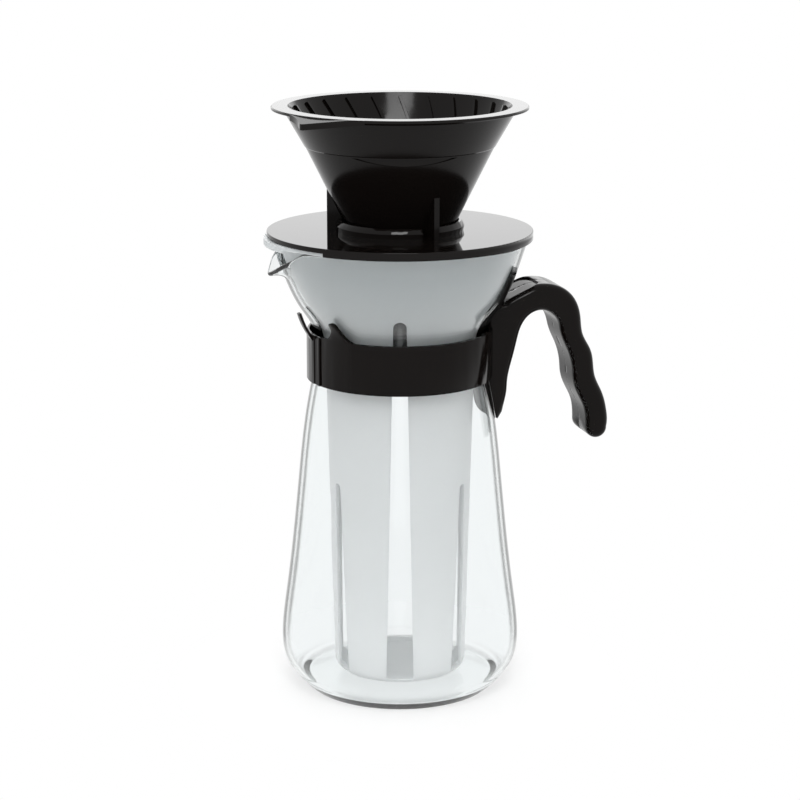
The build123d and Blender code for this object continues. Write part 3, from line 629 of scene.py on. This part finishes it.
def frosted_plastic(name, settings):
    """Milky translucent plastic with a fine frost, and painted shade at the bowl under the drip
    plate.
    """
    material, tree, shader = new_material(name)
    marks = placed(tree, handling_marks(), Middle=settings.roughness, Spread=0.06, Scale=30.0)
    darker = toned(settings.colour, factor=0.96)
    tube = tint_between(tree, marks.outputs["Mask"], darker, settings.colour)
    # Painted shade: the strainer darkens towards the bowl, under the drip plate.
    in_bowl_shade = ramp(tree, own_height(tree), BOWL_SHADE_FOOT, BOWL_SHADE_TOP)
    feed(
        shader, Base_Color=tint_between(tree, in_bowl_shade, tube, settings.bowl_painted_shade),
        Roughness=marks.outputs["Roughness"], IOR=1.4, Transmission_Weight=settings.clearness,
        Subsurface_Weight=settings.milkiness, Subsurface_Radius=(1.0, 1.0, 1.0),
        Subsurface_Scale=settings.glow_depth,
    )
    grain = placed(tree, mould_grain(), Scale=2600.0)
    bump_from(tree, grain.outputs["Height"], shader, distance=0.00005, strength=0.3)
    return material


def gloss_black_plastic(name, settings, roughness):
    """Polished black plastic, warm in the highlights, with a faint waviness from the mould."""
    material, tree, shader = new_material(name)
    lighter = toned(settings.colour, factor=1.5)
    mask = uneven(
        tree, shader, settings.colour, lighter, Middle=roughness, Spread=0.012, Scale=26.0,
    )
    feed(shader, IOR=1.5, Specular_IOR_Level=0.15)
    bump_from(tree, mask, shader, distance=0.0001, strength=0.1)
    return material


def satin_black_plastic(name, settings):
    """Grained black plastic of the band, its clasp and the handle."""
    material, tree, shader = new_material(name)
    lighter = toned(settings.colour, factor=1.6)
    uneven(
        tree, shader, settings.colour, lighter, Middle=settings.satin_roughness, Spread=0.12,
        Scale=34.0,
    )
    feed(shader, IOR=1.5, Specular_IOR_Level=0.1)
    grain = placed(tree, mould_grain(), Scale=1.0 / settings.grain)
    bump_from(tree, grain.outputs["Height"], shader, distance=0.00003, strength=0.3)
    return material


def turned_steel(name, settings):
    """Plain turned steel of the pin and the screws."""
    material, tree, shader = new_material(name)
    uneven(
        tree, shader, settings.dull_colour, settings.colour, Middle=settings.roughness, Spread=0.1,
        Scale=260.0,
    )
    feed(shader, Metallic=1.0)
    return material


# ---- pieces --------------------------------------------------------------------------------------
# Points closer than this are welded before a piece's edges sharper than this angle are rounded.
WELD_REACH = 0.00001
SHARP_ANGLE = radians(40)


def soften_edges(piece, edges):
    """Rounds a moulded piece's sharp edges without touching its mesh."""
    weld = piece.modifiers.new("weld", "WELD")
    weld.merge_threshold = WELD_REACH
    bevel = piece.modifiers.new("edges", "BEVEL")
    bevel.width = edges.moulded
    bevel.segments = edges.segments
    bevel.limit_method = "ANGLE"
    bevel.angle_limit = SHARP_ANGLE
    bevel.harden_normals = True
    bevel.use_clamp_overlap = True


def dress(name, material):
    """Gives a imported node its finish."""
    piece = frame["nodes"][name]
    piece.data.materials.clear()
    piece.data.materials.append(material)
    return piece


def look(name, make, *settings):
    """A material by name, made once."""
    return bpy.data.materials.get(name) or make(name, *settings)


def dress_fastened(scene, shells, fastener):
    """Gives grained plastic with rounded edges to some pieces, and steel to what fastens them."""
    black = look("satin_finish", satin_black_plastic, scene.coffee_black)
    for name in shells:
        soften_edges(dress(name, black), scene.coffee_edges)
    dress(fastener, look("steel_finish", turned_steel, scene.coffee_steel))


class DressJug(Operator):
    """Blows the glass jug, with a fire-polished rim and a dipped lip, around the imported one"""

    bl_idname = "coffee_maker.jug"
    bl_label = "Glass jug"

    def execute(self, context):
        jug = context.scene.coffee_jug
        rings = jug_rings(jug)
        piece = mesh_from_rings("blown_jug", rings, (0, 0, jug.punt), (0, 0, jug.base))
        finer = piece.modifiers.new("finer", "SUBSURF")
        finer.levels = finer.render_levels = 1
        piece.data.materials.append(look("glass_finish", clear_glass, context.scene.coffee_glass))
        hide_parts("jug_glass")
        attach(piece, frame["nodes"]["jug_glass"]["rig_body"])
        return {"FINISHED"}


class DressBand(Operator):
    """Gives the neck band and its clasp their satin black plastic and the pin its steel"""

    bl_idname = "coffee_maker.band"
    bl_label = "Neck band and clasp"

    def execute(self, context):
        dress_fastened(context.scene, ("neck_band", "clasp_latch"), "clasp_pin")
        return {"FINISHED"}


class DressHandle(Operator):
    """Gives the two handle shells their satin black plastic and the screws their steel"""

    bl_idname = "coffee_maker.handle"
    bl_label = "Handle and screws"

    def execute(self, context):
        shells = ("handle_shell_near", "handle_shell_far")
        dress_fastened(context.scene, shells, "handle_screws")
        return {"FINISHED"}


class DressStrainer(Operator):
    """Gives the ice strainer its frosted plastic"""

    bl_idname = "coffee_maker.strainer"
    bl_label = "Ice strainer"

    def execute(self, context):
        material = look("frosted_finish", frosted_plastic, context.scene.coffee_frosted)
        dress("ice_strainer", material)
        return {"FINISHED"}


class DressPlate(Operator):
    """Gives the drip plate its polished black plastic"""

    bl_idname = "coffee_maker.plate"
    bl_label = "Drip plate"

    def execute(self, context):
        black = context.scene.coffee_black
        material = look("gloss_finish", gloss_black_plastic, black, black.gloss_roughness)
        plate = dress("drip_plate", material)
        soften_edges(plate, context.scene.coffee_edges)
        return {"FINISHED"}


class DressDripper(Operator):
    """Gives the dripper its black plastic, a little less polished than the plate's"""

    bl_idname = "coffee_maker.dripper"
    bl_label = "Dripper"

    def execute(self, context):
        black = context.scene.coffee_black
        material = look("cone_finish", gloss_black_plastic, black, black.cone_roughness)
        dress("dripper_cone", material)
        return {"FINISHED"}


# ---- studio --------------------------------------------------------------------------------------
WHITE = (1, 1, 1, 1)
FLOOR_SIZE = 12.0
FLOOR_DROP = 0.0002
FLOOR_TONE = 0.96
# Seen from outside, the floor takes on the backdrop between these distances from the middle of the
# foot, from the first share to the last, so that it keeps the shadow. Seen through glass, it takes
# on at least its own share.
SHADOW_NEAR = 0.05
SHADOW_FAR = 0.11
NEAR_SHARE = 0.6
FAR_SHARE = 1.0
GLASS_SHARE = 0.93
# Sizes and places of the lamps, and the point that both look at.
KEY_SIZE = (0.6, 0.35)
KEY_PLACE = (-0.27, -1.0, 1.25)
REAR_SIZE = (2.2, 0.8)
REAR_PLACE = (0.4, 1.5, 0.72)
LAMP_AIM = (0, 0, 0.2)
SENSOR_WIDTH = 36.0
CLIP_START = 0.01


def seen_directly(tree):
    """1 for what is seen plainly, mirrored or through glass, 0 for what only lights a surface."""
    path = tree.nodes.new("ShaderNodeLightPath").outputs
    seen = path["Is Camera Ray"]
    for name in ("Is Glossy Ray", "Is Transmission Ray"):
        seen = result_of(tree, "MAXIMUM", seen, path[name])
    direct = result_of(tree, "SUBTRACT", seen, path["Diffuse Depth"])
    direct.node.use_clamp = True
    return direct


def through_glass(tree):
    """1 for rays that come through glass, 0 for others."""
    return tree.nodes.new("ShaderNodeLightPath").outputs["Is Transmission Ray"]


def make_world(studio):
    """Even light all round, stronger where it comes through glass, before a plain backdrop."""
    world = bpy.data.worlds.new("studio_world")
    bpy.context.scene.world = world
    world.use_nodes = True
    tree = world.node_tree
    tree.nodes.clear()
    strength = ramp(tree, through_glass(tree), 0.0, 1.0, studio.sky, studio.inner_sky)
    light = node(tree, "ShaderNodeBackground", Color=WHITE, Strength=strength)
    backdrop = node(tree, "ShaderNodeBackground", Color=(*studio.backdrop, 1), Strength=1.0)
    both = shaders_between(tree, seen_directly(tree), light.outputs[0], backdrop.outputs[0])
    node(tree, "ShaderNodeOutputWorld", Surface=both)


def floor_finish(studio):
    """A matt pale floor that takes on the backdrop away from the object."""
    material, tree, shader = new_material("studio_floor")
    pale = (*toned(studio.backdrop, FLOOR_TONE), 1)
    feed(shader, Base_Color=pale, Roughness=1.0, Specular_IOR_Level=0.0)
    glow = node(tree, "ShaderNodeEmission", Color=(*studio.backdrop, 1), Strength=1.0)
    away = tree.nodes.new("ShaderNodeVectorMath")
    away.operation = "LENGTH"
    join(away.inputs[0], own_place(tree))
    far = ramp(tree, away.outputs["Value"], SHADOW_NEAR, SHADOW_FAR, NEAR_SHARE, FAR_SHARE)
    far.node.interpolation_type = "SMOOTHSTEP"
    plain = result_of(tree, "MULTIPLY", seen_directly(tree), far)
    glazed = result_of(tree, "MULTIPLY", through_glass(tree), GLASS_SHARE)
    share = result_of(tree, "MAXIMUM", plain, glazed)
    both = shaders_between(tree, share, shader.outputs[0], glow.outputs[0])
    feed(tree.nodes["Material Output"], Surface=both)
    return material


def make_floor(studio):
    """A plain pale floor that keeps the object's shadow."""
    bpy.ops.mesh.primitive_plane_add(size=FLOOR_SIZE, location=(0, 0, -FLOOR_DROP))
    floor = bpy.context.object
    floor.name = "studio_floor"
    floor.data.materials.append(floor_finish(studio))


def make_lamp(name, power, size, place):
    """A rectangular soft lamp that shows only in gloss, not plainly or through glass."""
    data = bpy.data.lights.new(name, "AREA")
    data.energy = power
    data.shape = "RECTANGLE"
    data.size, data.size_y = size
    lamp = bpy.data.objects.new(name, data)
    bpy.context.collection.objects.link(lamp)
    lamp.location = place
    lamp.rotation_euler = (Vector(LAMP_AIM) - Vector(place)).to_track_quat("-Z", "Y").to_euler()
    lamp.visible_camera = False
    lamp.visible_transmission = False


def make_camera(studio):
    """The camera, standing a metre off and a little above."""
    data = bpy.data.cameras.new("studio_camera")
    data.lens = studio.lens
    data.sensor_width = SENSOR_WIDTH
    data.clip_start = CLIP_START
    camera = bpy.data.objects.new("studio_camera", data)
    bpy.context.collection.objects.link(camera)
    camera.location = studio.camera_place
    camera.rotation_euler = (pi / 2 - studio.camera_pitch, 0, studio.camera_turn)
    bpy.context.scene.camera = camera


class SetStudio(Operator):
    """Sets up the floor, the backdrop, the lamps and the camera"""

    bl_idname = "coffee_maker.studio"
    bl_label = "Studio"

    def execute(self, context):
        studio = context.scene.coffee_studio
        context.scene.view_settings.view_transform = "Standard"
        make_world(studio)
        make_floor(studio)
        make_lamp("key_lamp", studio.key, KEY_SIZE, KEY_PLACE)
        make_lamp("rear_lamp", studio.rear, REAR_SIZE, REAR_PLACE)
        make_camera(studio)
        return {"FINISHED"}


# ---- add-on --------------------------------------------------------------------------------------
class CoffeeMakerPanel(Panel):
    """Lists the steps that dress the coffee maker"""

    bl_idname = "VIEW3D_PT_coffee_maker"
    bl_label = "Coffee maker"
    bl_space_type = "VIEW_3D"
    bl_region_type = "UI"
    bl_category = "Coffee Maker"

    def draw(self, context):
        for step in STEPS:
            self.layout.operator(step.bl_idname)
        for name in SETTINGS:
            settings = getattr(context.scene, name)
            box = self.layout.box()
            for prop in settings.bl_rna.properties:
                if not prop.is_readonly and prop.identifier != "name":
                    box.prop(settings, prop.identifier)


STEPS = (DressJug, DressBand, DressHandle, DressStrainer, DressPlate, DressDripper, SetStudio)
SETTINGS = {
    "coffee_glass": GlassSettings,
    "coffee_jug": JugSettings,
    "coffee_edges": EdgeSettings,
    "coffee_frosted": FrostedSettings,
    "coffee_black": BlackPlasticSettings,
    "coffee_steel": SteelSettings,
    "coffee_studio": StudioSettings,
}


def register():
    for cls in (*SETTINGS.values(), *STEPS, CoffeeMakerPanel):
        bpy.utils.register_class(cls)
    for name, cls in SETTINGS.items():
        setattr(bpy.types.Scene, name, PointerProperty(type=cls))


def unregister():
    for name in SETTINGS:
        delattr(bpy.types.Scene, name)
    for cls in (CoffeeMakerPanel, *reversed(STEPS), *reversed(SETTINGS.values())):
        bpy.utils.unregister_class(cls)


def main():
    """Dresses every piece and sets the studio."""
    register()
    for step in STEPS:
        group, name = step.bl_idname.split(".")
        getattr(getattr(bpy.ops, group), name)()


if __name__ == "__main__":
    main()
